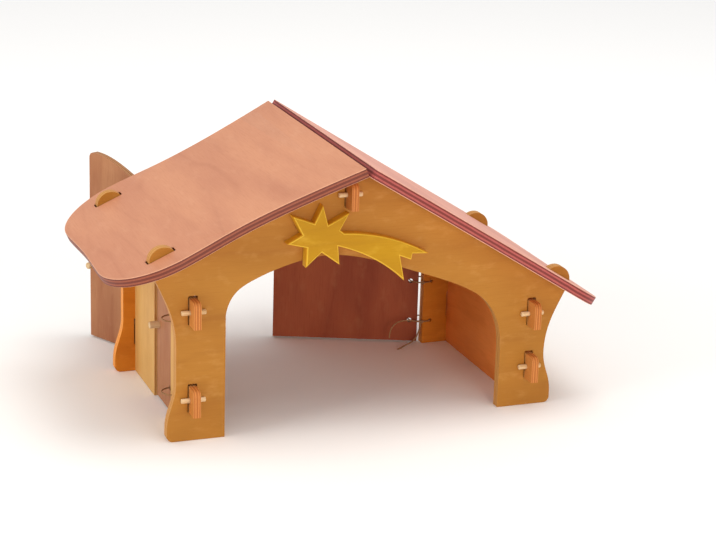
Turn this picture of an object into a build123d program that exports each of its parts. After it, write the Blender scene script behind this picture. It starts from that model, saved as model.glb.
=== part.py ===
"""Wooden toy nativity stable: two arched plywood gables, slotted walls, a pinned ridge beam,
two lift-off roof panels, a comet star and three doors hung on string. Millimetres, +Z up.
The origin is the middle of the base of the bounding box. X runs along the gables to the
right, and Y from the front gable to the rear one."""

import os
from math import cos, pi, radians, sin, sqrt, tan

from build123d import *

# Plywood, dowel and string stock
gable_t = 8.0
roof_t = 8.0
wall_t = 6.0
door_t = 6.0
star_t = 9.0
star_round = 1.5
pin_d = 4.0
knob_d = 6.0
string_d = 1.2

# Gable outline, measured from the middle of the doorway
foot_half = 168.0
foot_round = 5.0
waist_half = 160.6
left_waist_low_z = 48.0
left_waist_high_z = 80.0
right_waist_z = 46.0
apex_x = -14.8
apex_z = 218.0
left_pitch = 24.4
right_pitch = 31.6
left_slope = 182.0
right_slope = 226.0
edge_round = 0.8

# Doorways in the gables
doorway_half = 120.0
front_arch_left_z = 103.0
front_arch_right_z = 55.0
front_arch = [(-118.4, 110.0), (-112.7, 120.2), (-96.3, 130.9), (-59.0, 143.3), (-38.0, 146.2),
              (-3.8, 141.5), (44.6, 125.3), (89.9, 106.6), (103.9, 96.7), (113.8, 82.7), (119.0, 66.0)]
rear_arch_left_z = 110.0
rear_arch_right_z = 75.0
rear_arch = [(-118.4, 121.0), (-113.0, 132.0), (-96.0, 149.7), (-70.0, 163.0), (-26.0, 175.0),
             (12.0, 169.2), (48.0, 153.3), (84.0, 131.0), (105.6, 113.0), (116.4, 94.0)]

# Walls between the gables
bay_depth = 162.0
wall_mid = 147.0
roof_gap = 0.3

# Tabs of the walls and the beam, and their slots in the gables
tab_h = 22.0
tab_reach = 14.0
tab_corner = 5.0
slot_side = 1.0
slot_above = 2.0
low_tab_z = 24.0
left_high_tab_z = 97.5
right_high_tab_z = 71.0
beam_x = -18.5
beam_h = 40.0
beam_tab_drop = 7.7
pin_len = 20.0
pin_play = 0.15
pin_gap = 0.2

# Half-moon tabs on the gables, and their slots in the roof
moon_len = 22.0
moon_rise = 7.2
moon_margin = 1.4
moon_side = 1.5
moon_face = 0.6

# Roof panels, measured down the slope from the ridge
ridge_gap = 0.25
left_panel_len = 216.0
left_ridge_half = 123.5
left_waist_half = 109.5
left_bulge_half = 113.0
left_corner_r = 56.0
right_panel_len = 252.0
right_ridge_half = 129.0
right_waist_half = 115.0
right_bulge_half = 118.0
right_corner_r = 33.0
panel_waist = 0.55
eave_dip = 1.4

# Rear doors, hung in the rear doorway
leaf_gap = 1.5
hinge_gap = 0.5
meeting_x = -15.0
left_leaf_open = 117.6
right_leaf_open = 21.6
leaf_corner = 5.0
rear_knob_z = 70.5
side_knob_z = 66.0
knob_in = 6.5
knob_seat = 4.0
knob_reach = 9.0
knob_play = 0.15
knob_round = 1.2

# Side doorway in the left wall, measured back from the front gable's face
side_door_front = 54.5
side_door_rear = 106.0
side_door_h = 114.5
side_door_rise = 8.0
side_recess = 2.1

# String ties about each hinge axis
tie_r = 9.0
tie_wrap = 226.0
tie_bend = 3.6
tie_stand_off = 1.5
leg_hole_d = 3.2
leaf_hole_d = 4.4
knot_d = 3.2
knot_at = 0.0
knot_slit = 0.1
low_tie_z = 21.5
left_high_tie_z = 85.0
right_high_tie_z = 59.0

# Loose ends of the right rear door's lower knot, from the knot's middle
hanging_end = [(-1.2, 0.0, 0.4), (-7.4, -0.8, 1.5), (-13.8, -1.3, 2.7), (-20.0, -0.9, 2.7),
               (-25.6, -0.2, 0.6), (-29.2, 0.5, -3.9), (-30.6, 0.9, -9.2), (-30.8, 0.5, -13.4)]
floor_end = [(-0.4, -0.4, -1.1), (-1.9, -1.0, -5.6), (-3.4, -0.9, -10.8), (-5.4, -0.1, -15.9),
             (-9.2, 0.9, -19.9), (-14.3, -1.0, -20.8), (-19.0, -4.6, -20.8),
             (-23.0, -8.5, -20.8), (-27.0, -10.9, -20.8)]

# Slopes, frames and hinges that follow from the sizes above
left_a = radians(left_pitch)
right_a = radians(right_pitch)
depth = bay_depth + 2 * gable_t
beam_top_z = apex_z - (apex_x - beam_x + wall_t / 2) * tan(left_a) - roof_gap
beam_tab_z = beam_top_z - beam_tab_drop - tab_h
left_wall_h = apex_z - (wall_mid + wall_t / 2 + apex_x) * tan(left_a) - roof_gap
right_wall_h = apex_z - (wall_mid + wall_t / 2 - apex_x) * tan(right_a) - roof_gap
tab_places = [(-wall_mid, low_tab_z), (-wall_mid, left_high_tab_z), (wall_mid, low_tab_z),
              (wall_mid, right_high_tab_z), (beam_x, beam_tab_z)]
hinge_half = doorway_half - leaf_gap
side_hinge_y = side_door_front + leaf_gap
side_leaf_reach = side_door_rear - leaf_gap - side_hinge_y
left_leaf_reach = hinge_half + meeting_x - leaf_gap / 2
right_leaf_reach = hinge_half - meeting_x - leaf_gap / 2
leaf_hole_in = (tie_r + sqrt(tie_r**2 - door_t**2)) / 2

# Middle of the bounding box: eaves across, and roof front to open leaf tip along
left_eave_x = apex_x - (left_panel_len + ridge_gap) * cos(left_a) - roof_t * sin(left_a)
right_eave_x = apex_x + (right_panel_len + ridge_gap) * cos(right_a) + roof_t * sin(right_a)
roof_front_y = depth / 2 - right_ridge_half
leaf_tip_y = depth + left_leaf_reach * sin(radians(left_leaf_open))
origin_x = -(left_eave_x + right_eave_x) / 2
origin_y = -(roof_front_y + leaf_tip_y) / 2
front_face = Plane(origin=(origin_x, origin_y, 0), x_dir=(1, 0, 0), z_dir=(0, -1, 0))
rear_board = front_face.offset(-(depth - gable_t))


def slope_point(side, along):
    """Point on a gable's slope, a distance from the apex, in the gable's own frame."""
    if side == "left":
        return (apex_x - along * cos(left_a), apex_z - along * sin(left_a))
    return (apex_x + along * cos(right_a), apex_z - along * sin(right_a))


def gable_outline():
    """Outline of a gable: flared feet, narrow waists and two unequal slopes."""
    left_corner = slope_point("left", left_slope)
    right_corner = slope_point("right", right_slope)
    flare_z = 2 * foot_round
    with BuildSketch() as outline:
        with BuildLine():
            Polyline((-foot_half, flare_z), (-foot_half, 0), (foot_half, 0), (foot_half, flare_z))
            Spline((-foot_half, flare_z), (-waist_half, left_waist_low_z), tangents=((0, 1), (0, 1)))
            Line((-waist_half, left_waist_low_z), (-waist_half, left_waist_high_z))
            Spline((-waist_half, left_waist_high_z), left_corner, tangents=((0, 1), (-0.42, 1)))
            Polyline(left_corner, (apex_x, apex_z), right_corner)
            Spline(right_corner, (waist_half, right_waist_z), tangents=((-0.5, -1), (0, -1)))
            Spline((waist_half, right_waist_z), (foot_half, flare_z), tangents=((0, -1), (0, -1)))
        make_face()
        feet = outline.vertices().group_by(Axis.Y)[0]
        fillet(feet, foot_round)
    return outline.sketch


def doorway(left_z, points, right_z, gap=0.0):
    """Arched doorway, open at the floor, or the shape that fills it with a gap all round."""
    half = doorway_half - gap
    crown = [(x * half / doorway_half, z - gap) for x, z in points]
    with BuildSketch() as opening:
        with BuildLine():
            Spline((-half, left_z - gap), *crown, (half, right_z - gap))
            Polyline((half, right_z - gap), (half, gap), (-half, gap), (-half, left_z - gap))
        make_face()
    return opening.sketch


def half_moons():
    """Tabs that stand square on the two slopes, near the gable's corners."""
    moons = Sketch()
    half = moon_len / 2
    for side, slope, turn in [("left", left_slope, left_pitch), ("right", right_slope, -right_pitch)]:
        x, z = slope_point(side, slope - moon_margin - half)
        with BuildSketch(Plane(origin=(x, z, 0)).rotated((0, 0, turn))) as moon:
            with BuildLine():
                Polyline((-half, roof_t), (-half, -1), (half, -1), (half, roof_t))
                ThreePointArc((half, roof_t), (0, roof_t + moon_rise), (-half, roof_t))
            make_face()
        moons += moon.sketch
    return moons


def tab_slots():
    """Slots that the tabs of the walls and the beam rest in."""
    height = tab_h + slot_above
    with BuildSketch() as slots:
        with Locations([(x, z + height / 2) for x, z in tab_places]):
            RectangleRounded(wall_t + 2 * slot_side, height, slot_side)
    return slots.sketch


def leg_holes():
    """Holes in the rear gable's legs that the string ties run through."""
    x = hinge_half + tie_r
    with BuildSketch() as holes:
        with Locations((-x, low_tie_z), (-x, left_high_tie_z), (x, low_tie_z), (x, right_high_tie_z)):
            Circle(leg_hole_d / 2)
    return holes.sketch


outline_face = gable_outline()
moon_faces = half_moons()
slot_faces = tab_slots()
hole_faces = leg_holes()
front_doorway = doorway(front_arch_left_z, front_arch, front_arch_right_z)
rear_doorway = doorway(rear_arch_left_z, rear_arch, rear_arch_right_z)
rear_leaves = doorway(rear_arch_left_z, rear_arch, rear_arch_right_z, leaf_gap)

with BuildPart() as front_gable:
    with BuildSketch(front_face):
        add(outline_face)
        add(moon_faces)
        add(front_doorway, mode=Mode.SUBTRACT)
        add(slot_faces, mode=Mode.SUBTRACT)
    extrude(amount=-gable_t)

with BuildPart() as rear_gable:
    with BuildSketch(rear_board):
        add(outline_face)
        add(moon_faces)
        add(rear_doorway, mode=Mode.SUBTRACT)
        add(slot_faces, mode=Mode.SUBTRACT)
        add(hole_faces, mode=Mode.SUBTRACT)
    extrude(amount=-gable_t)


def tabbed_plate(low_z, high_z, tab_lows):
    """Plate between the gables, seen from the side, with a tab and a pin hole at each end."""
    pin_in = pin_d / 2 + pin_gap
    with BuildSketch() as plate:
        with Locations((depth / 2, (low_z + high_z) / 2)):
            Rectangle(bay_depth, high_z - low_z)
        with Locations([(depth / 2, z + tab_h / 2) for z in tab_lows]):
            Rectangle(depth + 2 * tab_reach, tab_h)
        tips = plate.vertices().group_by(Axis.X)
        fillet(tips[0].sort_by(Axis.Y)[1::2] + tips[-1].sort_by(Axis.Y)[1::2], tab_corner)
        with Locations([(y, z + tab_h / 2) for y in (-pin_in, depth + pin_in) for z in tab_lows]):
            Circle(pin_d / 2 + pin_play, mode=Mode.SUBTRACT)
    return plate.sketch


def upright(x):
    """Frame of an upright plate that runs from gable to gable, with its left face at x."""
    return Plane(origin=(origin_x + x, origin_y, 0), x_dir=(0, 1, 0), z_dir=(1, 0, 0))


left_plate = tabbed_plate(0, left_wall_h, [low_tab_z, left_high_tab_z])
right_plate = tabbed_plate(0, right_wall_h, [low_tab_z, right_high_tab_z])
beam_plate = tabbed_plate(beam_top_z - beam_h, beam_top_z, [beam_tab_z])

with BuildSketch() as side_doorway:
    crown_z = side_door_h - side_door_rise
    side_middle = (side_door_front + side_door_rear) / 2
    with BuildLine():
        Polyline((side_door_front, crown_z), (side_door_front, 0), (side_door_rear, 0),
                 (side_door_rear, crown_z))
        ThreePointArc((side_door_front, crown_z), (side_middle, side_door_h), (side_door_rear, crown_z))
    make_face()

with BuildPart() as left_wall:
    with BuildSketch(upright(-wall_mid - wall_t / 2)):
        add(left_plate)
        add(side_doorway.sketch, mode=Mode.SUBTRACT)
        with Locations((side_hinge_y - tie_r, low_tie_z), (side_hinge_y - tie_r, left_high_tie_z)):
            Circle(leg_hole_d / 2, mode=Mode.SUBTRACT)
    extrude(amount=wall_t)

with BuildPart() as right_wall:
    with BuildSketch(upright(wall_mid - wall_t / 2)):
        add(right_plate)
    extrude(amount=wall_t)

with BuildPart() as ridge_beam:
    with BuildSketch(upright(beam_x - wall_t / 2)):
        add(beam_plate)
    extrude(amount=wall_t)


def lock_pins(y):
    """Five dowels across the tabs, just clear of a gable's outer face."""
    centres = [Vector(origin_x + x, origin_y + y, z + tab_h / 2) for x, z in tab_places]
    with BuildPart() as pins:
        with BuildSketch(*[Plane(origin=centre, z_dir=(1, 0, 0)) for centre in centres]):
            Circle(pin_d / 2)
        extrude(amount=pin_len / 2, both=True)
        chamfer(pins.edges().filter_by(GeomType.CIRCLE), pin_d / 10)
    return pins


front_lock_pins = lock_pins(-pin_d / 2 - pin_gap)
rear_lock_pins = lock_pins(depth + pin_d / 2 + pin_gap)


def roof_panel(down, up, slope, length, ridge_half, waist_w, bulge_half, corner_r):
    """Roof panel on one slope: square ridge edge, waisted sides and a rounded eave."""
    underside = Plane(origin=(origin_x + apex_x, origin_y + depth / 2, apex_z), x_dir=down, z_dir=up)
    end = length + ridge_gap
    turn = end - corner_r
    eave_half = bulge_half - corner_r
    waist_s = panel_waist * length
    moon_s = slope - moon_margin - moon_len / 2
    with BuildPart() as panel:
        with BuildSketch(underside):
            with BuildLine():
                Line((ridge_gap, -ridge_half), (ridge_gap, ridge_half))
                Spline((ridge_gap, ridge_half), (waist_s, waist_w), (turn, bulge_half),
                       tangents=((1, -0.22), (1, 0)))
                RadiusArc((turn, bulge_half), (end, eave_half), corner_r)
                Spline((end, eave_half), (end - eave_dip, 0), (end, -eave_half), tangents=((0, -1), (0, -1)))
                RadiusArc((end, -eave_half), (turn, -bulge_half), corner_r)
                Spline((turn, -bulge_half), (waist_s, -waist_w), (ridge_gap, -ridge_half),
                       tangents=((-1, 0), (-1, -0.22)))
            make_face()
        extrude(amount=roof_t)
        faces = panel.faces().filter_by(lambda f: abs(f.normal_at().dot(underside.z_dir)) > 0.99)
        rims = faces.edges().filter_by(lambda e: underside.to_local_coords(e.center()).X > 1)
        fillet(rims, edge_round)
        with BuildSketch(underside):
            with Locations((moon_s, -bay_depth / 2 - gable_t / 2), (moon_s, bay_depth / 2 + gable_t / 2)):
                RectangleRounded(moon_len + 2 * moon_side, gable_t + 2 * moon_face, moon_side)
        extrude(amount=roof_t, mode=Mode.SUBTRACT)
    return panel


roof_left = roof_panel((-cos(left_a), 0, -sin(left_a)), (-sin(left_a), 0, cos(left_a)),
                       left_slope, left_panel_len, left_ridge_half, left_waist_half,
                       left_bulge_half, left_corner_r)
roof_right = roof_panel((cos(right_a), 0, -sin(right_a)), (sin(right_a), 0, cos(right_a)),
                        right_slope, right_panel_len, right_ridge_half, right_waist_half,
                        right_bulge_half, right_corner_r)

with BuildPart() as comet_star:
    with BuildSketch(front_face):
        with BuildLine():
            Polyline((-43.4, 190.2), (-38.8, 173.8), (-21.0, 182.5), (-28.6, 168.8), (-25.1, 166.0))
            ThreePointArc((-25.1, 166.0), (10.0, 160.4), (48.3, 143.9))
            Polyline((48.3, 143.9), (34.2, 144.6), (33.2, 139.5), (23.5, 143.3), (27.8, 122.2))
            ThreePointArc((27.8, 122.2), (1.0, 142.4), (-29.9, 155.5))
            Polyline((-29.9, 155.5), (-28.4, 140.1), (-43.8, 151.4), (-56.8, 139.7), (-56.3, 156.1),
                     (-72.9, 160.4), (-60.3, 167.0), (-68.7, 183.0), (-50.4, 175.9), (-43.4, 190.2))
        make_face()
    extrude(amount=star_t)
    fillet(comet_star.edges().group_by(Axis.Y)[0], star_round)


def leaf_frame(side, turn):
    """Outer face of a rear leaf: the rear gable's outer face, turned about the leaf's hinge."""
    hinge_x = side * hinge_half
    across = Vector(1, 0, 0).rotate(Axis.Z, turn)
    hinge = Vector(origin_x + hinge_x, origin_y + depth, 0)
    outward = Vector(0, -1, 0).rotate(Axis.Z, turn)
    return Plane(origin=hinge - across * hinge_x, x_dir=across, z_dir=outward)


def rear_leaf(side, frame, reach, high_tie_z):
    """Rear door leaf, cut to the doorway's arch, with holes for its ties and its knob."""
    hinge_x = side * hinge_half
    hole_x = hinge_x - side * leaf_hole_in
    knob_x = side * (hinge_half - reach + knob_in)
    with BuildPart() as leaf:
        with BuildSketch(frame) as face:
            add(rear_leaves)
            with Locations((hinge_x - side * (hinge_gap + reach) / 2, apex_z / 2)):
                Rectangle(reach - hinge_gap, apex_z, mode=Mode.INTERSECT)
            free_edge = face.vertices().group_by(Axis.X, reverse=side < 0)[0]
            fillet(free_edge.sort_by(Axis.Y)[-1], leaf_corner)
            with Locations((hole_x, low_tie_z), (hole_x, high_tie_z)):
                Circle(leaf_hole_d / 2, mode=Mode.SUBTRACT)
        extrude(amount=door_t)
        with BuildSketch(frame):
            with Locations((knob_x, rear_knob_z)):
                Circle(knob_d / 2 + knob_play)
        extrude(amount=knob_seat, mode=Mode.SUBTRACT)
    return leaf


def knob(frame, x, z):
    """Dowel knob, glued in a blind hole, with a rounded outer end."""
    with BuildPart() as dowel:
        with BuildSketch(frame.offset(knob_seat)):
            with Locations((x, z)):
                Circle(knob_d / 2)
        extrude(amount=-knob_seat - knob_reach)
        outer = dowel.edges().filter_by(GeomType.CIRCLE)
        fillet(outer.sort_by(lambda e: frame.to_local_coords(e.center()).Z)[0], knob_round)
    return dowel


left_frame = leaf_frame(-1, left_leaf_open)
right_frame = leaf_frame(1, -right_leaf_open)
rear_door_left = rear_leaf(-1, left_frame, left_leaf_reach, left_high_tie_z)
rear_door_right = rear_leaf(1, right_frame, right_leaf_reach, right_high_tie_z)
left_knob = knob(left_frame, left_leaf_reach - knob_in - hinge_half, rear_knob_z)
right_knob = knob(right_frame, hinge_half - right_leaf_reach + knob_in, rear_knob_z)

side_frame = upright(-wall_mid - wall_t / 2 + side_recess)
side_hole_y = side_hinge_y + leaf_hole_in
with BuildPart() as side_door:
    with BuildSketch(side_frame):
        add(side_doorway.sketch)
        offset(amount=-leaf_gap, kind=Kind.INTERSECTION)
        with Locations((side_hinge_y + leaf_gap, 0)):
            Rectangle(side_leaf_reach, 2 * side_door_h, align=(Align.MIN, Align.CENTER), mode=Mode.INTERSECT)
        with Locations((side_hole_y, low_tie_z), (side_hole_y, left_high_tie_z)):
            Circle(leaf_hole_d / 2, mode=Mode.SUBTRACT)
    extrude(amount=door_t)
    with BuildSketch(side_frame):
        with Locations((side_hinge_y + side_leaf_reach - knob_in, side_knob_z)):
            Circle(knob_d / 2 + knob_play)
    extrude(amount=knob_seat, mode=Mode.SUBTRACT)
side_knob = knob(side_frame, side_hinge_y + side_leaf_reach - knob_in, side_knob_z)


def string_tie(hinge, toward_leg, up, inner_v):
    """Knotted loop of string about a hinge axis, through a hole in the leg and one in the leaf."""
    level = Plane(origin=hinge, x_dir=toward_leg, z_dir=up)
    end_a = radians(tie_wrap)
    end = (tie_r * cos(end_a), tie_r * sin(end_a))
    inner_u = end[0] + (inner_v + end[1]) * tan(end_a)
    knot_run = knot_at - knot_slit - inner_u
    knot_bend = min(tie_bend, 0.95 * knot_run / tan(radians(270 - tie_wrap) / 2))
    with BuildPart() as tie:
        with BuildLine(level) as route:
            FilletPolyline((knot_at + knot_slit, -inner_v), (tie_r, -inner_v), (tie_r, 0), radius=tie_bend)
            CenterArc((0, 0), tie_r, 0, tie_wrap)
            FilletPolyline(end, (inner_u, -inner_v), (knot_at - knot_slit, -inner_v), radius=knot_bend)
        with BuildSketch(Plane(origin=route.wire() @ 0, z_dir=route.wire() % 0)):
            Circle(string_d / 2)
        sweep(path=route.wire())
        middle = level.from_local_coords(Vector(knot_at, -inner_v, 0))
        with BuildSketch(Plane(origin=middle, z_dir=toward_leg)):
            Circle(knot_d / 2)
        extrude(amount=knot_d / 2, both=True)
        rims = tie.edges().filter_by(GeomType.CIRCLE).filter_by(lambda e: abs(e.radius - knot_d / 2) < 1e-6)
        fillet(rims, knot_d / 4)
    return tie


rear_inner_v = gable_t + tie_stand_off
side_inner_v = door_t + string_d + tie_stand_off
left_axis = Vector(origin_x - hinge_half, origin_y + depth, 0)
right_axis = Vector(origin_x + hinge_half, origin_y + depth, 0)
side_axis = Vector(origin_x - wall_mid - wall_t / 2 + side_recess, origin_y + side_hinge_y, 0)
low = Vector(0, 0, low_tie_z)
left_high = Vector(0, 0, left_high_tie_z)
right_high = Vector(0, 0, right_high_tie_z)
left_low_tie = string_tie(left_axis + low, (-1, 0, 0), (0, 0, -1), rear_inner_v)
left_high_tie = string_tie(left_axis + left_high, (-1, 0, 0), (0, 0, -1), rear_inner_v)
right_low_tie = string_tie(right_axis + low, (1, 0, 0), (0, 0, 1), rear_inner_v)
right_high_tie = string_tie(right_axis + right_high, (1, 0, 0), (0, 0, 1), rear_inner_v)
side_low_tie = string_tie(side_axis + low, (0, -1, 0), (0, 0, -1), side_inner_v)
side_high_tie = string_tie(side_axis + left_high, (0, -1, 0), (0, 0, -1), side_inner_v)


def loose_string(name, knot, steps):
    """Loose end of string along straight runs and the widest bends that they allow."""
    points = [knot + Vector(*step) for step in steps]
    runs = [b - a for a, b in zip(points, points[1:])]
    radii = []
    for run, following in zip(runs, runs[1:]):
        half_turn = radians(run.get_angle(following) / 2)
        radii.append(0.45 * min(run.length, following.length) / tan(half_turn))
    with BuildPart() as cord:
        with BuildLine() as route:
            FilletPolyline(*points, radius=radii)
        with BuildSketch(Plane(origin=route.wire() @ 0, z_dir=route.wire() % 0)):
            Circle(string_d / 2)
        sweep(path=route.wire())
    section = cord.part.volume / (pi * string_d**2 / 4)
    print(name, "length", round(route.wire().length, 2), "volume / section", round(section, 2))
    print(name, "radii", [round(r, 1) for r in radii])
    return cord


knot = right_axis + low + Vector(knot_at, -rear_inner_v, 0)
loose_end_hanging = loose_string("hanging end", knot, hanging_end)
loose_end_floor = loose_string("floor end", knot, floor_end)

pieces = {
    "front_gable": front_gable, "rear_gable": rear_gable, "left_wall": left_wall, "right_wall": right_wall,
    "ridge_beam": ridge_beam, "front_lock_pins": front_lock_pins, "rear_lock_pins": rear_lock_pins,
    "roof_left": roof_left, "roof_right": roof_right, "comet_star": comet_star,
    "rear_door_left": rear_door_left, "rear_door_right": rear_door_right, "side_door": side_door,
    "left_knob": left_knob, "right_knob": right_knob, "side_knob": side_knob,
    "left_low_tie": left_low_tie, "left_high_tie": left_high_tie, "right_low_tie": right_low_tie,
    "right_high_tie": right_high_tie, "side_low_tie": side_low_tie, "side_high_tie": side_high_tie,
    "loose_end_hanging": loose_end_hanging, "loose_end_floor": loose_end_floor,
}
os.makedirs("parts", exist_ok=True)
for name, piece in pieces.items():
    piece.part.label = name
    export_step(piece.part, f"parts/{name}.step")
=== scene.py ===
"""Looks of the wooden toy nativity stable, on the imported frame. Lengths in metres."""

import logging
import math
from dataclasses import dataclass, field
from enum import Enum

import bmesh
import bpy
from mathutils import Matrix, Vector

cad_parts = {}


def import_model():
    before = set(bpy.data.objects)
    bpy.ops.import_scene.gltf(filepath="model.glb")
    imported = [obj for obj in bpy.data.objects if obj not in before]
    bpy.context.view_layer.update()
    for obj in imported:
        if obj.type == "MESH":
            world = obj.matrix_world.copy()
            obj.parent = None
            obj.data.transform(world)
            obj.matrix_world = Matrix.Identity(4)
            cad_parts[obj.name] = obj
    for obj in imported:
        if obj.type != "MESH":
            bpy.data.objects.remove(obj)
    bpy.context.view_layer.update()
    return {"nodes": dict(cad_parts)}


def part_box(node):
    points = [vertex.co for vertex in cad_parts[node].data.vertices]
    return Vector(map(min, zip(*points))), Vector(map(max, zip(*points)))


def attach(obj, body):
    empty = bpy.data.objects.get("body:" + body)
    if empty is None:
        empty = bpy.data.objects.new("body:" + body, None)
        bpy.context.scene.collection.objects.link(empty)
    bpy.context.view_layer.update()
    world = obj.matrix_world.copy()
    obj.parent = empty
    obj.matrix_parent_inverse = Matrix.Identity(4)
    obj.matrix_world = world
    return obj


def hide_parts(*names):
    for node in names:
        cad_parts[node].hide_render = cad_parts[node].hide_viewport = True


LOG = logging.getLogger("stable")

# The photograph's camera, from the doorway in the house's own axes
CAMERA_PLACE = Vector((-0.5738, -1.4803, 0.6228))
CAMERA_YAW = math.radians(20.87)
CAMERA_PITCH = math.radians(17.22)
CAMERA_ROLL = math.radians(-1.77)
FOCAL_PX = 2060.0
PICTURE_W_PX = 716.0
SENSOR_MM = 36.0
FAR_CLIP = 100.0

# Slopes and open doors of the house
LEFT_PITCH = math.radians(24.4)
RIGHT_PITCH = math.radians(31.6)
LEFT_LEAF_OPEN = math.radians(117.6)
RIGHT_LEAF_OPEN = math.radians(21.6)

# Rounded arrises
BOARD_ROUND = 0.0009
STAR_ROUND = 0.0004
ROUND_SEGMENTS = 3
SHARP_ANGLE = math.radians(50)
WELD_GAP = 1e-6

# String, and the right rear door's lower knot
STRING_D = 0.0012
DOORWAY_HALF = 0.120
HINGE_FROM_JAMB = 0.0015
KNOT_FROM_GABLE = 0.0015
MM_A_METRE = 1000

# Loose string ends, from the middle of that knot, in millimetres
HANGING_END = [(-1.2, 0.0, 0.4), (-7.4, -0.8, 1.5), (-13.8, -1.3, 2.7), (-20.0, -0.9, 2.7),
               (-25.6, -0.2, 0.6), (-29.2, 0.5, -3.9), (-30.6, 0.9, -9.2), (-30.8, 0.5, -13.4)]
FLOOR_END = [(-0.4, -0.4, -1.1), (-1.9, -1.0, -5.6), (-3.4, -0.9, -10.8), (-5.4, -0.1, -15.9),
             (-9.2, 0.9, -19.9), (-14.3, -1.0, -20.8), (-19.0, -4.6, -20.8),
             (-23.0, -8.5, -20.8), (-27.0, -10.9, -20.8)]
HANGING_LENGTH = 0.0403
FLOOR_LENGTH = 0.0426

X_AXIS = Vector((1.0, 0.0, 0.0))
Y_AXIS = Vector((0.0, 1.0, 0.0))
Z_AXIS = Vector((0.0, 0.0, 1.0))

Colour = tuple[float, float, float, float]


def rgb(hex_code: str) -> Colour:
    """Linear colour of a display colour.

    Args:
        hex_code: Six hexadecimal digits.

    Returns:
        Linear red, green, blue and alpha.
    """
    values = [int(hex_code[i:i + 2], 16) / 255 for i in (0, 2, 4)]
    linear = [v / 12.92 if v <= 0.04045 else ((v + 0.055) / 1.055) ** 2.4 for v in values]
    return (*linear, 1.0)


class Num:
    """A socket's value, whose arithmetic adds Math nodes."""

    def __init__(self, nodes: "Nodes", socket: bpy.types.NodeSocket) -> None:
        """Keeps the tree and the socket."""
        self.nodes = nodes
        self.socket = socket

    def _op(self, operation: str, *values: "Num | float") -> "Num":
        """A Math node on some values."""
        return self.nodes.node("ShaderNodeMath", values, operation=operation).out()

    def __add__(self, other: "Num | float") -> "Num":
        """This value plus another."""
        return self._op("ADD", self, other)

    def __radd__(self, other: float) -> "Num":
        """A number plus this value."""
        return self._op("ADD", other, self)

    def __sub__(self, other: "Num | float") -> "Num":
        """This value less another."""
        return self._op("SUBTRACT", self, other)

    def __rsub__(self, other: float) -> "Num":
        """A number less this value."""
        return self._op("SUBTRACT", other, self)

    def __mul__(self, other: "Num | float") -> "Num":
        """This value times another."""
        return self._op("MULTIPLY", self, other)

    def __rmul__(self, other: float) -> "Num":
        """A number times this value."""
        return self._op("MULTIPLY", other, self)

    def __truediv__(self, other: "Num | float") -> "Num":
        """This value over another."""
        return self._op("DIVIDE", self, other)

    def __rtruediv__(self, other: float) -> "Num":
        """A number over this value."""
        return self._op("DIVIDE", other, self)

    def __gt__(self, other: "Num | float") -> "Num":
        """One where this value is the larger."""
        return self._op("GREATER_THAN", self, other)

    def __lt__(self, other: "Num | float") -> "Num":
        """One where this value is the smaller."""
        return self._op("LESS_THAN", self, other)

    def root(self) -> "Num":
        """The square root of this value."""
        return self._op("POWER", self, 0.5)

    def larger(self, other: "Num") -> "Num":
        """The larger of this value and another."""
        return self._op("MAXIMUM", self, other)

    def absolute(self) -> "Num":
        """This value without its sign."""
        return self._op("ABSOLUTE", self)

    def fraction(self) -> "Num":
        """The part of this value after its decimal point."""
        return self._op("FRACT", self)

    def ramp(self, low: float, high: float) -> "Num":
        """This value mapped smoothly from low..high to 0..1."""
        return self.nodes.node("ShaderNodeMapRange", (self, low, high, 0.0, 1.0),
                               interpolation_type="SMOOTHSTEP").out()


Value = Num | float | Colour | tuple[float, float, float]


class Node:
    """A placed node and its outputs."""

    def __init__(self, nodes: "Nodes", node: bpy.types.Node) -> None:
        """Keeps the tree and the node."""
        self.nodes = nodes
        self.node = node

    def out(self, name: str | int = 0) -> Num:
        """One output, by its name or its place."""
        return Num(self.nodes, self.node.outputs[name])


class Nodes:
    """A node tree under construction."""

    def __init__(self, tree: bpy.types.NodeTree) -> None:
        """Keeps the tree."""
        self.tree = tree

    def node(self, kind: str, inputs: tuple[Value, ...] = (),
             named: dict[str | int, Value] | None = None, **settings: str) -> Node:
        """Adds a node.

        Args:
            kind: The node's type.
            inputs: Values or links of the first sockets, in order.
            named: Values or links of sockets by name or place.
            settings: Properties of the node, set first.

        Returns:
            The placed node.
        """
        made = self.tree.nodes.new(kind)
        for key, value in settings.items():
            setattr(made, key, value)
        for key, value in [*enumerate(inputs), *(named or {}).items()]:
            self.feed(made.inputs[key], value)
        return Node(self, made)

    def feed(self, socket: bpy.types.NodeSocket, value: Value) -> None:
        """Puts a value or a link on a socket.

        Args:
            socket: The socket.
            value: The value or link.
        """
        if isinstance(value, Num):
            self.tree.links.new(value.socket, socket)
        else:
            socket.default_value = value


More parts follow.
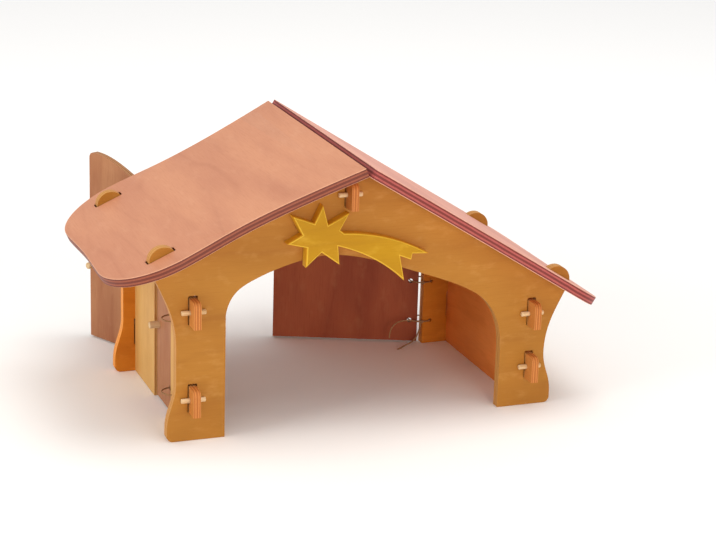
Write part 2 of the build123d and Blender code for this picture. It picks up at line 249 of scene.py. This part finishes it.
class Shader(Nodes):
    """A material under construction, on Object coordinates."""

    MIX_SHARE, MIX_LOW, MIX_HIGH, MIX_RESULT = 0, 6, 7, 2

    def __init__(self, name: str) -> None:
        """Makes the material.

        Args:
            name: The material's name.
        """
        self.material = bpy.data.materials.new(name)
        self.material.use_nodes = True
        super().__init__(self.material.node_tree)
        self.surface = self.tree.nodes["Principled BSDF"]
        self.place = self.node("ShaderNodeTexCoord").out("Object")

    def along(self, direction: Vector) -> Num:
        """Distance of the shaded point along a direction."""
        return self.node("ShaderNodeVectorMath", (self.place, tuple(direction)),
                         operation="DOT_PRODUCT").out("Value")

    def vector(self, x: Num | float, y: Num | float, z: Num | float) -> Num:
        """A vector of three values."""
        return self.node("ShaderNodeCombineXYZ", (x, y, z)).out()

    def noise(self, vector: Num, scale: float = 1.0, detail: float = 2.0,
              rough: float = 0.5) -> Num:
        """Noise from 0 to 1.

        Args:
            vector: Where it is read.
            scale: How fine it is.
            detail: How many finer layers it has.
            rough: How strong they are.

        Returns:
            The noise.
        """
        return self.node("ShaderNodeTexNoise", named={
            "Vector": vector, "Scale": scale, "Detail": detail, "Roughness": rough}).out("Fac")

    def mix(self, share: Num | float, low: Value, high: Value) -> Num:
        """A blend of two colours.

        Args:
            share: The share of the second.
            low: The first colour.
            high: The second colour.

        Returns:
            The blend.
        """
        sockets = {self.MIX_SHARE: share, self.MIX_LOW: low, self.MIX_HIGH: high}
        return self.node("ShaderNodeMix", named=sockets, data_type="RGBA").out(self.MIX_RESULT)

    def bump(self, height: Num, distance: float, strength: float) -> Num:
        """A bumped normal.

        Args:
            height: The height, from 0 to 1.
            distance: The real height that 1 stands for.
            strength: How much of it shows.

        Returns:
            The normal.
        """
        return self.node("ShaderNodeBump", named={
            "Height": height, "Distance": distance, "Strength": strength}).out("Normal")

    def finish(self, colour: Num, roughness: Num, normal: Num,
               gloss: float) -> bpy.types.Material:
        """Feeds the surface.

        Args:
            colour: The base colour.
            roughness: The roughness.
            normal: The bumped normal.
            gloss: The specular level.

        Returns:
            The finished material.
        """
        sockets = {"Base Color": colour, "Roughness": roughness, "Normal": normal,
                   "Specular IOR Level": gloss}
        for name, value in sockets.items():
            self.feed(self.surface.inputs[name], value)
        return self.material


@dataclass(frozen=True)
class Wash:
    """Lays one colour over another where a pattern passes a level."""

    start: float
    full: float
    strength: float = 1.0

    def share(self, pattern: Num, grain: float = 1.0) -> Num:
        """How much of the colour shows.

        Args:
            pattern: The pattern, from 0 to 1.
            grain: How marked the board's grain is.

        Returns:
            The share, from 0 to 1.
        """
        return pattern.ramp(self.start, self.full) * (self.strength * grain)


@dataclass(frozen=True)
class Pattern:
    """Noise stretched along a board: how often it repeats in a metre each way."""

    along: float
    across: float
    deep: float
    detail: float = 2.0
    rough: float = 0.5
    seeded: bool = True


@dataclass(frozen=True)
class BoardPlace:
    """Where the shaded point lies in a board, along and across its grain and through it."""

    shader: Shader
    run: Num
    cross: Num
    depth: Num
    seed: int

    def read(self, pattern: Pattern) -> Num:
        """A pattern at the point.

        Args:
            pattern: The pattern.

        Returns:
            Its value, from 0 to 1.
        """
        through = self.depth * pattern.deep
        if pattern.seeded:
            through = through + float(self.seed)
        place = self.shader.vector(self.run * pattern.along, self.cross * pattern.across, through)
        return self.shader.noise(place, detail=pattern.detail, rough=pattern.rough)


# Patterns of plywood
BROAD = Pattern(7.0, 26.0, 0.3, detail=3.0)
FIBRE = Pattern(55.0, 900.0, 1.0, detail=3.0, rough=0.6)
PORES = Pattern(160.0, 2600.0, 2.0, rough=0.6)
WARP = Pattern(5.0, 14.0, 0.2)
PATCHES = Pattern(45.0, 90.0, 0.0, detail=3.0, rough=0.6)
PLY_WOBBLE = Pattern(60.0, 60.0, 1.0, seeded=False)
END_GRAIN = Pattern(900.0, 900.0, 9.0, rough=0.7, seeded=False)

# What each pattern lays over the faces and the edges
TONE = Wash(0.3, 0.7)
FLAME_LINE = Wash(0.62, 0.98)
FLAME_FIELD = Wash(0.35, 0.7, 0.34)
FIBRE_LINE = Wash(0.45, 0.8, 0.30)
PORE = Wash(0.62, 0.75, 0.22)
PALE_PATCH = Wash(0.5, 0.8, 0.28)
END_FIBRE = Wash(0.4, 0.75, 0.35)
GLUE_LINE = Wash(0.40, 0.49, 0.7)
FLAMES_A_METRE = 46.0
FLAME_WARP = 5.0
WOBBLE_REACH = 0.10
# Strength of the painted highlight on the arrises
ARRIS_HIGHLIGHT_STRENGTH = 0.75

# In thicknesses: how far from a board's middle its faces start and its painted arris highlight
# ends, and how deep from its near side the painted warm shade and bounce light go
FACE_FROM = 0.44
ARRIS_TO = 0.492
PAINTED_LIGHT_DEPTH = 0.97

FIBRE_ROUGHNESS = 0.18
BROAD_ROUGHNESS = 0.08
FIBRE_HEIGHT, PORE_HEIGHT = 0.6, 0.4
GRAIN_BUMP, GRAIN_BUMP_STRENGTH = 0.00012, 0.5
SEEDS = 17


@dataclass(frozen=True)
class PlyFinish:
    """Look of a stained plywood board."""

    light: str
    dark: str
    figure: str
    ply_light: str
    ply_dark: str
    glue: str
    # Pale patches in the faces' grain, and the painted highlight on the arrises
    pale_patch_and_highlight: str
    plies: int = 5
    roughness: float = 0.5
    grain: float = 1.0
    gloss: float = 0.2


GABLE = PlyFinish("B2792E", "A76E26", "995F21", "D19953", "B97E3C", "925824", "D6A35E")
WALL = PlyFinish("D8AC69", "CC9A54", "B98543", "DBA867", "BE864A", "95622F", "E2B678")
ROOF = PlyFinish("CD8D6A", "C18060", "AE6C4D", "954E35", "6B2C1D", "49190D", "DAA483",
                 grain=0.8, gloss=0.4)
# The right slope's copy of the roof finish, paler and pinker: painted light and sheen
RIGHT_ROOF_PAINTED_LIGHT = PlyFinish("E6A48F", "D99582", "C37E6B", "B1544E", "782925", "531512", "E7B198",
                       grain=0.8, gloss=0.4)
DOOR = PlyFinish("B37D56", "A06645", "8B4F30", "B9895B", "955F3A", "6E3B1B", "C48F68")
# The right rear leaf's copy of the door finish, darker and redder: painted shade
DOOR_PAINTED_SHADE = PlyFinish("A25436", "8D422A", "76331F", "A77144", "844B27", "5D2C10", "B0714C")
# The star's edge and arris colours are brighter than its face: painted highlight on its sides
STAR = PlyFinish("BC8C09", "B38107", "A47105", "E4B12D", "DCA628", "A2710E", "E6BD3E", plies=1)


class Reach(Enum):
    """Which part of a board a colour shift covers."""

    MIDDLE = "the middle of its near side"
    ENDS = "its ends, all round"


@dataclass(frozen=True)
class ColourShift:
    """A redder tint over part of a board, which multiplies its colour: painted warm shade inside
    the bay, painted warm bounce light on the rear gable's feet, and a darker, redder tint on the
    tab ends.
    """

    tint: tuple[float, float, float]
    axis: Vector
    centre: float
    half: float
    fade: float
    reach: Reach = Reach.MIDDLE

    def over(self, place: BoardPlace, colour: Num) -> Num:
        """The tinted colour.

        Args:
            place: The shaded point.
            colour: The bare colour.

        Returns:
            The tinted colour.
        """
        shader = place.shader
        distance = (shader.along(self.axis) - self.centre).absolute()
        share = distance.ramp(self.half - self.fade, self.half)
        if self.reach is Reach.MIDDLE:
            share = (1.0 - share) * (place.depth < PAINTED_LIGHT_DEPTH)
        # Multiplies by the tint: painted warm shade in the bay, painted warm bounce light on the
        # rear gable's feet, a darker, redder tint on the tab ends
        tinted = shader.node("ShaderNodeVectorMath", (colour, self.tint),
                              operation="MULTIPLY").out()
        return shader.mix(share, colour, tinted)


@dataclass(frozen=True)
class Board:
    """A board of the frame: its node, thickness axis, grain and finish."""

    node: str
    axis: Vector
    grain: Vector
    finish: PlyFinish
    rounding: float = BOARD_ROUND
    # Painted warm shade and bounce light, and the tab ends' darker, redder tint
    colour_shifts: tuple[ColourShift, ...] = ()

    def face(self, place: BoardPlace, broad: Num, fibre: Num, pores: Num) -> Num:
        """Colour of the broad faces.

        Args:
            place: The shaded point.
            broad: The broad light and dark bands.
            fibre: The fine grain.
            pores: The open pores.

        Returns:
            The colour.
        """
        shader, look = place.shader, self.finish
        flame = place.cross * FLAMES_A_METRE + place.read(WARP) * FLAME_WARP
        flame = (flame.fraction() - 0.5).absolute() * 2.0
        lines = FLAME_LINE.share(flame) * FLAME_FIELD.share(broad, look.grain)
        colour = shader.mix(TONE.share(broad), rgb(look.light), rgb(look.dark))
        colour = shader.mix(lines, colour, rgb(look.figure))
        colour = shader.mix(FIBRE_LINE.share(fibre, look.grain), colour, rgb(look.figure))
        colour = shader.mix(PORE.share(pores), colour, rgb(look.glue))
        patches = PALE_PATCH.share(place.read(PATCHES), look.grain)
        return shader.mix(patches, colour, rgb(look.pale_patch_and_highlight))

    def edge(self, place: BoardPlace) -> Num:
        """Colour of the cut edges, where the plies show.

        Args:
            place: The shaded point.

        Returns:
            The colour.
        """
        shader, look = place.shader, self.finish
        wobble = (place.read(PLY_WOBBLE) - 0.5) * WOBBLE_REACH
        layer = (place.depth + wobble) * float(look.plies)
        band = (layer * 0.5).fraction() > 0.5
        colour = shader.mix(band, rgb(look.ply_dark), rgb(look.ply_light))
        colour = shader.mix(END_FIBRE.share(place.read(END_GRAIN)), colour, rgb(look.ply_dark))
        if look.plies > 1:
            seam = GLUE_LINE.share((layer.fraction() - 0.5).absolute())
            colour = shader.mix(seam, colour, rgb(look.glue))
        return colour

    def material(self, low: float, thickness: float) -> bpy.types.Material:
        """Stained plywood: long grain and flames on the faces, plies on the edges.

        Args:
            low: Where its lower face lies along its thickness axis.
            thickness: Its thickness.

        Returns:
            The material.
        """
        shader, look = Shader(self.node + "_ply"), self.finish
        side = self.axis.cross(self.grain)
        depth = (shader.along(self.axis) - low) / thickness
        seed = sum(ord(letter) for letter in self.node) % SEEDS
        place = BoardPlace(shader, shader.along(self.grain), shader.along(side), depth, seed)
        broad, fibre, pores = (place.read(pattern) for pattern in (BROAD, FIBRE, PORES))
        middle = (depth - 0.5).absolute()
        face, edge = self.face(place, broad, fibre, pores), self.edge(place)
        colour = shader.mix(middle < FACE_FROM, face, edge)
        # Painted highlight: the pale rim colour laid on the rounded arrises
        painted_highlight = (middle > FACE_FROM) * (middle < ARRIS_TO)
        colour = shader.mix(painted_highlight * ARRIS_HIGHLIGHT_STRENGTH, colour, rgb(look.pale_patch_and_highlight))
        # Painted warm shade and bounce light, and the tab ends' darker, redder tint
        for shift in self.colour_shifts:
            colour = shift.over(place, colour)
        rough = look.roughness + fibre * FIBRE_ROUGHNESS - broad * BROAD_ROUGHNESS
        height = fibre * FIBRE_HEIGHT + pores * PORE_HEIGHT
        normal = shader.bump(height, GRAIN_BUMP, GRAIN_BUMP_STRENGTH)
        return shader.finish(colour, rough, normal, look.gloss)

    def build(self, nodes: dict[str, bpy.types.Object]) -> None:
        """Gives the board its material and its rounded arrises.

        Args:
            nodes: The frame's objects by name.
        """
        obj = nodes[self.node]
        heights = [self.axis.dot(vertex.co) for vertex in obj.data.vertices]
        low, thickness = min(heights), max(heights) - min(heights)
        paint(obj, self.material(low, thickness))
        weld = obj.modifiers.new("Weld", "WELD")
        weld.merge_threshold = WELD_GAP
        bevel = obj.modifiers.new("Arris", "BEVEL")
        bevel.width = self.rounding
        bevel.segments = ROUND_SEGMENTS
        bevel.limit_method = "ANGLE"
        bevel.angle_limit = SHARP_ANGLE
        LOG.info("board %s, %.1f mm thick", self.node, thickness * MM_A_METRE)


@dataclass(frozen=True)
class DowelFinish:
    """Bare turned dowel with fine straight grain."""

    light: str = "E4C9A0"
    dark: str = "CDA877"
    line: str = "A57F52"
    tone: Wash = Wash(0.3, 0.7)
    tone_along: float = 20.0
    tone_across: float = 300.0
    fibres: Wash = Wash(0.5, 0.75, 0.5)
    fibre_along: float = 60.0
    fibre_across: float = 1500.0
    upright_from: float = 0.9
    roughness: float = 0.62
    fibre_roughness: float = 0.15
    bump: float = 0.0001
    bump_strength: float = 0.5
    gloss: float = 0.25

    def material(self, name: str, axis: Vector) -> bpy.types.Material:
        """The material of a dowel.

        Args:
            name: The material's name.
            axis: The dowel's axis.

        Returns:
            The material.
        """
        shader = Shader(name)
        upright = abs(axis.dot(Z_AXIS)) >= self.upright_from
        side = axis.cross(X_AXIS if upright else Z_AXIS).normalized()
        run, u, v = (shader.along(a) for a in (axis, side, axis.cross(side)))
        fine, wide = self.fibre_across, self.tone_across
        fibre = shader.noise(shader.vector(run * self.fibre_along, u * fine, v * fine),
                             detail=3.0, rough=0.6)
        broad = shader.noise(shader.vector(run * self.tone_along, u * wide, v * wide))
        colour = shader.mix(self.tone.share(broad), rgb(self.light), rgb(self.dark))
        colour = shader.mix(self.fibres.share(fibre), colour, rgb(self.line))
        normal = shader.bump(fibre, self.bump, self.bump_strength)
        rough = self.roughness + fibre * self.fibre_roughness
        return shader.finish(colour, rough, normal, self.gloss)


@dataclass(frozen=True)
class TwineFinish:
    """Natural twine, twisted, with a worn fuzz of lighter fibres."""

    # Colour of the twist's grooves: painted shade
    groove_shade: str = "7A5034"
    strand: str = "BC946A"
    fuzz_tint: str = "D8BE98"
    strands: Wash = Wash(0.1, 0.8)
    fuzz: Wash = Wash(0.45, 0.7, 0.35)
    fuzz_a_metre: float = 2200.0
    twist_level: float = 1100.0
    twist_skew: float = 0.8
    twist_up: float = 1900.0
    roughness: float = 0.85
    fuzz_roughness: float = 0.1
    fuzz_height: float = 0.4
    bump: float = 0.0002
    bump_strength: float = 0.8
    gloss: float = 0.1

    def material(self, name: str) -> bpy.types.Material:
        """The material of the twine.

        Args:
            name: The material's name.

        Returns:
            The material.
        """
        shader = Shader(name)
        x, y, z = (shader.along(axis) for axis in (X_AXIS, Y_AXIS, Z_AXIS))
        turns = (x + y * self.twist_skew) * self.twist_level + z * self.twist_up
        twist = (turns.fraction() - 0.5).absolute() * 2.0
        fine = self.fuzz_a_metre
        fuzz = shader.noise(shader.vector(x * fine, y * fine, z * fine))
        # Painted shade in the grooves of the twist
        colour = shader.mix(self.strands.share(twist), rgb(self.groove_shade), rgb(self.strand))
        colour = shader.mix(self.fuzz.share(fuzz), colour, rgb(self.fuzz_tint))
        height = twist + fuzz * self.fuzz_height
        normal = shader.bump(height, self.bump, self.bump_strength)
        return shader.finish(colour, self.roughness + fuzz * self.fuzz_roughness, normal,
                             self.gloss)


@dataclass(frozen=True)
class PaperFinish:
    """Pale paper with faint specks."""

    pale: str = "FDFCFB"
    speck: str = "F2F0EE"
    specks_a_metre: float = 40.0
    speck_strength: float = 0.05
    roughness: float = 0.85
    speck_roughness: float = 0.02
    bump: float = 0.0001
    bump_strength: float = 0.1
    gloss: float = 0.1

    def material(self, shader: Shader) -> bpy.types.Material:
        """The material of the paper.

        Args:
            shader: The material under construction.

        Returns:
            The material.
        """
        speck = shader.noise(shader.place, self.specks_a_metre)
        colour = shader.mix(speck * self.speck_strength, rgb(self.pale), rgb(self.speck))
        rough = self.roughness + speck * self.speck_roughness
        normal = shader.bump(speck, self.bump, self.bump_strength)
        return shader.finish(colour, rough, normal, self.gloss)


def paint(obj: bpy.types.Object, material: bpy.types.Material) -> None:
    """Gives an object one material in each of its slots.

    Args:
        obj: The object.
        material: The material.
    """
    if not obj.material_slots:
        obj.data.materials.append(material)
    for slot in obj.material_slots:
        slot.material = material


def doorway_point() -> Vector:
    """Middle of the front doorway on the floor, in the front gable's outer face."""
    low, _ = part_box("front_gable")
    pins_low, pins_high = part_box("front_lock_pins")
    return Vector(((pins_low[0] + pins_high[0]) / 2, low[1], 0.0))


class Lay(Enum):
    """How a loose string end lies."""

    HANGING = "hanging"
    LOOSE = "loose"


@dataclass(frozen=True)
class LooseString:
    """A loose end of the right rear door's lower knot."""

    name: str
    node: str
    steps: list[tuple[float, float, float]]
    length: float
    lay: Lay
    round_steps: int = 4
    run_steps: int = 12

    def build(self, knot: Vector, material: bpy.types.Material) -> None:
        """Args:
            knot: The middle of the knot.
            material: The string's material.
        """
        curve = bpy.data.curves.new(self.name, "CURVE")
        curve.dimensions = "3D"
        curve.bevel_depth = STRING_D / 2
        curve.bevel_resolution = self.round_steps
        curve.resolution_u = self.run_steps
        curve.use_fill_caps = True
        spline = curve.splines.new("NURBS")
        spline.points.add(len(self.steps) - 1)
        for point, step in zip(spline.points, self.steps):
            point.co = (*(knot + Vector(step) / MM_A_METRE), 1.0)
        spline.order_u = 3
        spline.use_endpoint_u = True
        curve.materials.append(material)
        obj = bpy.data.objects.new(self.name, curve)
        bpy.context.scene.collection.objects.link(obj)
        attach(obj, "house")
        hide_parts(self.node)
        tuple(knot + Vector(self.steps[0]) / MM_A_METRE)
        LOG.info("string %s, %.1f mm long", self.name, self.length * MM_A_METRE)


@dataclass
class Stable:
    """All of the toy's pieces."""

    nodes: dict[str, bpy.types.Object]
    doorway: Vector
    # Colour shifts: a darker, redder tint on the tab ends, painted warm shade inside the bay,
    # painted warm bounce light low on the rear gable
    shift_fade: float = 0.002
    shift_edge: float = 0.001
    tab_tint: tuple[float, float, float] = (0.86, 0.58, 0.42)
    bay_painted_shade: tuple[float, float, float] = (1.40, 0.78, 0.50)
    foot_painted_bounce: tuple[float, float, float] = (1.52, 1.18, 0.66)
    foot_h: float = 0.098
    foot_fade: float = 0.03
    left_out: Vector = field(init=False)
    right_out: Vector = field(init=False)

    def __post_init__(self) -> None:
        """Works out which way the open leaves face."""
        self.left_out = Vector((-math.sin(LEFT_LEAF_OPEN), math.cos(LEFT_LEAF_OPEN), 0))
        self.right_out = Vector((math.sin(RIGHT_LEAF_OPEN), math.cos(RIGHT_LEAF_OPEN), 0))

    def colour_shifts(self) -> tuple[ColourShift, ColourShift, ColourShift]:
        """The colour shifts: the tab ends' darker, redder tint, painted warm shade inside the bay
        and painted warm bounce light on the rear gable's feet.
        """
        front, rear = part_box("front_gable")[0][1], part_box("rear_gable")[1][1]
        middle, half = (front + rear) / 2, (rear - front) / 2
        # A darker, redder tint on the tab ends outside the gables
        tabs = ColourShift(self.tab_tint, Y_AXIS, middle, half + self.shift_edge, self.shift_fade,
                     Reach.ENDS)
        # Painted warm shade on the right wall's inner side between the gables
        bay = ColourShift(self.bay_painted_shade, Y_AXIS, middle, half - self.shift_edge, self.shift_fade)
        # Painted warm bounce light low on the rear gable's near side
        feet = ColourShift(self.foot_painted_bounce, Z_AXIS, 0.0, self.foot_h, self.foot_fade)
        return tabs, bay, feet

    def boards(self) -> list[Board]:
        """The toy's boards."""
        left_up = Vector((-math.sin(LEFT_PITCH), 0, math.cos(LEFT_PITCH)))
        right_up = Vector((math.sin(RIGHT_PITCH), 0, math.cos(RIGHT_PITCH)))
        tabs, bay, feet = self.colour_shifts()
        return [
            Board("front_gable", Y_AXIS, X_AXIS, GABLE),
            Board("rear_gable", Y_AXIS, X_AXIS, GABLE, colour_shifts=(feet,)),
            Board("left_wall", X_AXIS, Z_AXIS, WALL, colour_shifts=(tabs,)),
            Board("right_wall", X_AXIS, Y_AXIS, WALL, colour_shifts=(tabs, bay)),
            Board("ridge_beam", X_AXIS, Y_AXIS, WALL, colour_shifts=(tabs,)),
            Board("roof_left", left_up, Y_AXIS, ROOF),
            Board("roof_right", right_up, Y_AXIS, RIGHT_ROOF_PAINTED_LIGHT),
            Board("rear_door_left", self.left_out, Z_AXIS, DOOR),
            Board("rear_door_right", self.right_out, Z_AXIS, DOOR_PAINTED_SHADE),
            Board("side_door", X_AXIS, Z_AXIS, DOOR),
            Board("comet_star", Y_AXIS, X_AXIS, STAR, STAR_ROUND),
        ]

    def dowels(self) -> None:
        """Paints the lock pins and the knobs."""
        dowel = DowelFinish()
        across = dowel.material("pin_wood", X_AXIS)
        for name in ("front_lock_pins", "rear_lock_pins", "side_knob"):
            paint(self.nodes[name], across)
            LOG.info("dowel %s", name)
        for name, axis in (("left_knob", self.left_out), ("right_knob", self.right_out)):
            paint(self.nodes[name], dowel.material(name + "_wood", axis))
            LOG.info("dowel %s", name)

    def knot(self) -> Vector:
        """Middle of the right rear door's lower knot."""
        gable_low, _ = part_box("rear_gable")
        tie_low, tie_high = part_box("right_low_tie")
        x = self.doorway.x + DOORWAY_HALF - HINGE_FROM_JAMB
        return Vector((x, gable_low[1] - KNOT_FROM_GABLE, (tie_low[2] + tie_high[2]) / 2))

    def strings(self) -> None:
        """Paints the ties and makes the loose ends."""
        twine = TwineFinish().material("twine")
        for side in ("left", "right", "side"):
            for level in ("low", "high"):
                paint(self.nodes[f"{side}_{level}_tie"], twine)
                LOG.info("tie %s %s", side, level)
        knot = self.knot()
        for loose in (
            LooseString("hanging_string", "loose_end_hanging", HANGING_END, HANGING_LENGTH,
                        Lay.HANGING),
            LooseString("floor_string", "loose_end_floor", FLOOR_END, FLOOR_LENGTH, Lay.LOOSE),
        ):
            loose.build(knot, twine)

    def build(self) -> None:
        """Finishes every piece."""
        for board in self.boards():
            board.build(self.nodes)
        self.dowels()
        self.strings()


@dataclass(frozen=True)
class Lamp:
    """A square soft box: its name, its place from the doorway, side, watts and tint."""

    name: str
    place: Vector
    size: float
    power: float
    tint: str


LAMPS = (
    Lamp("low_front", Vector((0.05, -1.6, 0.28)), 0.5, 9.0, "FFF2E2"),
    Lamp("overhead", Vector((0.35, -0.15, 1.9)), 1.2, 17.0, "FFFCF6"),
    Lamp("left", Vector((-1.6, -0.25, 0.75)), 0.8, 11.0, "FFFCF6"),
)


@dataclass
class Studio:
    """Floor, world, lights and camera about the doorway."""

    doorway: Vector
    world_light: float = 0.76
    aim: Vector = field(default_factory=lambda: Vector((0, 0.08, 0.08)))
    floor_size: float = 12.0
    floor_drop: float = 0.0002
    glow_behind: float = 0.1
    glow_from: float = 0.3
    glow_full: float = 1.1
    glow: str = "808080"

    def floor_glow(self, shader: Shader) -> Num:
        """What lifts the far floor to white for the camera, clear of the shadows.

        Args:
            shader: The floor's shader.

        Returns:
            The emission colour.
        """
        x = shader.along(X_AXIS) - self.doorway.x
        y = shader.along(Y_AXIS) - self.doorway.y - self.glow_behind
        distance = (x * x + y * y).root()
        seen = shader.node("ShaderNodeLightPath").out("Is Camera Ray")
        share = distance.ramp(self.glow_from, self.glow_full) * seen
        return shader.mix(share, rgb("000000"), rgb(self.glow))

    def floor(self) -> None:
        """A wide pale paper floor."""
        mesh = bpy.data.meshes.new("floor")
        work = bmesh.new()
        bmesh.ops.create_grid(work, x_segments=1, y_segments=1, size=self.floor_size)
        work.to_mesh(mesh)
        work.free()
        mesh.transform(Matrix.Translation((0, 0, -self.floor_drop)))
        obj = bpy.data.objects.new("floor", mesh)
        bpy.context.scene.collection.objects.link(obj)
        shader = Shader("floor_paper")
        shader.feed(shader.surface.inputs["Emission Color"], self.floor_glow(shader))
        shader.feed(shader.surface.inputs["Emission Strength"], 1.0)
        paint(obj, PaperFinish().material(shader))

    def world(self) -> None:
        """Bright where the camera and the glosses look, and a soft level elsewhere."""
        world = bpy.data.worlds.new("studio")
        world.use_nodes = True
        sky = Nodes(world.node_tree)
        sky.tree.nodes.clear()
        path = sky.node("ShaderNodeLightPath")
        clear = path.out("Is Glossy Ray").larger(path.out("Is Transmission Ray"))
        seen = path.out("Is Camera Ray").larger(clear)
        dim = sky.node("ShaderNodeBackground", named={"Strength": self.world_light}).out()
        bright = sky.node("ShaderNodeBackground").out()
        shown = sky.node("ShaderNodeMixShader", (seen, dim, bright)).out()
        sky.node("ShaderNodeOutputWorld", named={"Surface": shown})
        bpy.context.scene.world = world

    def light(self, lamp: Lamp) -> None:
        """Sets one lamp, which faces the house.

        Args:
            lamp: The lamp.
        """
        data = bpy.data.lights.new(lamp.name, "AREA")
        data.shape = "SQUARE"
        data.size = lamp.size
        data.energy = lamp.power
        data.color = rgb(lamp.tint)[:3]
        obj = bpy.data.objects.new(lamp.name, data)
        bpy.context.scene.collection.objects.link(obj)
        obj.location = self.doorway + lamp.place
        toward = self.doorway + self.aim - obj.location
        obj.rotation_euler = toward.to_track_quat("-Z", "Y").to_euler()
        LOG.info("lamp %s", lamp.name)

    def camera(self) -> None:
        """The photograph's camera."""
        forward = Vector((math.sin(CAMERA_YAW) * math.cos(CAMERA_PITCH),
                          math.cos(CAMERA_YAW) * math.cos(CAMERA_PITCH),
                          -math.sin(CAMERA_PITCH)))
        level = Vector((math.cos(CAMERA_YAW), -math.sin(CAMERA_YAW), 0))
        down = forward.cross(level)
        right = level * math.cos(CAMERA_ROLL) + down * math.sin(CAMERA_ROLL)
        below = down * math.cos(CAMERA_ROLL) - level * math.sin(CAMERA_ROLL)
        data = bpy.data.cameras.new("camera")
        data.sensor_fit = "HORIZONTAL"
        data.sensor_width = SENSOR_MM
        data.lens = SENSOR_MM * FOCAL_PX / PICTURE_W_PX
        data.clip_end = FAR_CLIP
        obj = bpy.data.objects.new("camera", data)
        bpy.context.scene.collection.objects.link(obj)
        turn = Matrix((right, -below, -forward)).transposed().to_4x4()
        obj.matrix_world = Matrix.Translation(self.doorway + CAMERA_PLACE) @ turn
        bpy.context.scene.camera = obj

    def build(self) -> None:
        """Sets the whole studio."""
        self.floor()
        self.world()
        for lamp in LAMPS:
            self.light(lamp)
        self.camera()
        bpy.context.scene.view_settings.view_transform = "Standard"


def main() -> None:
    """Builds the looks on the frame."""
    logging.basicConfig(level=logging.INFO)
    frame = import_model()
    doorway = doorway_point()
    Stable(frame["nodes"], doorway).build()
    Studio(doorway).build()


if __name__ == "__main__":
    main()
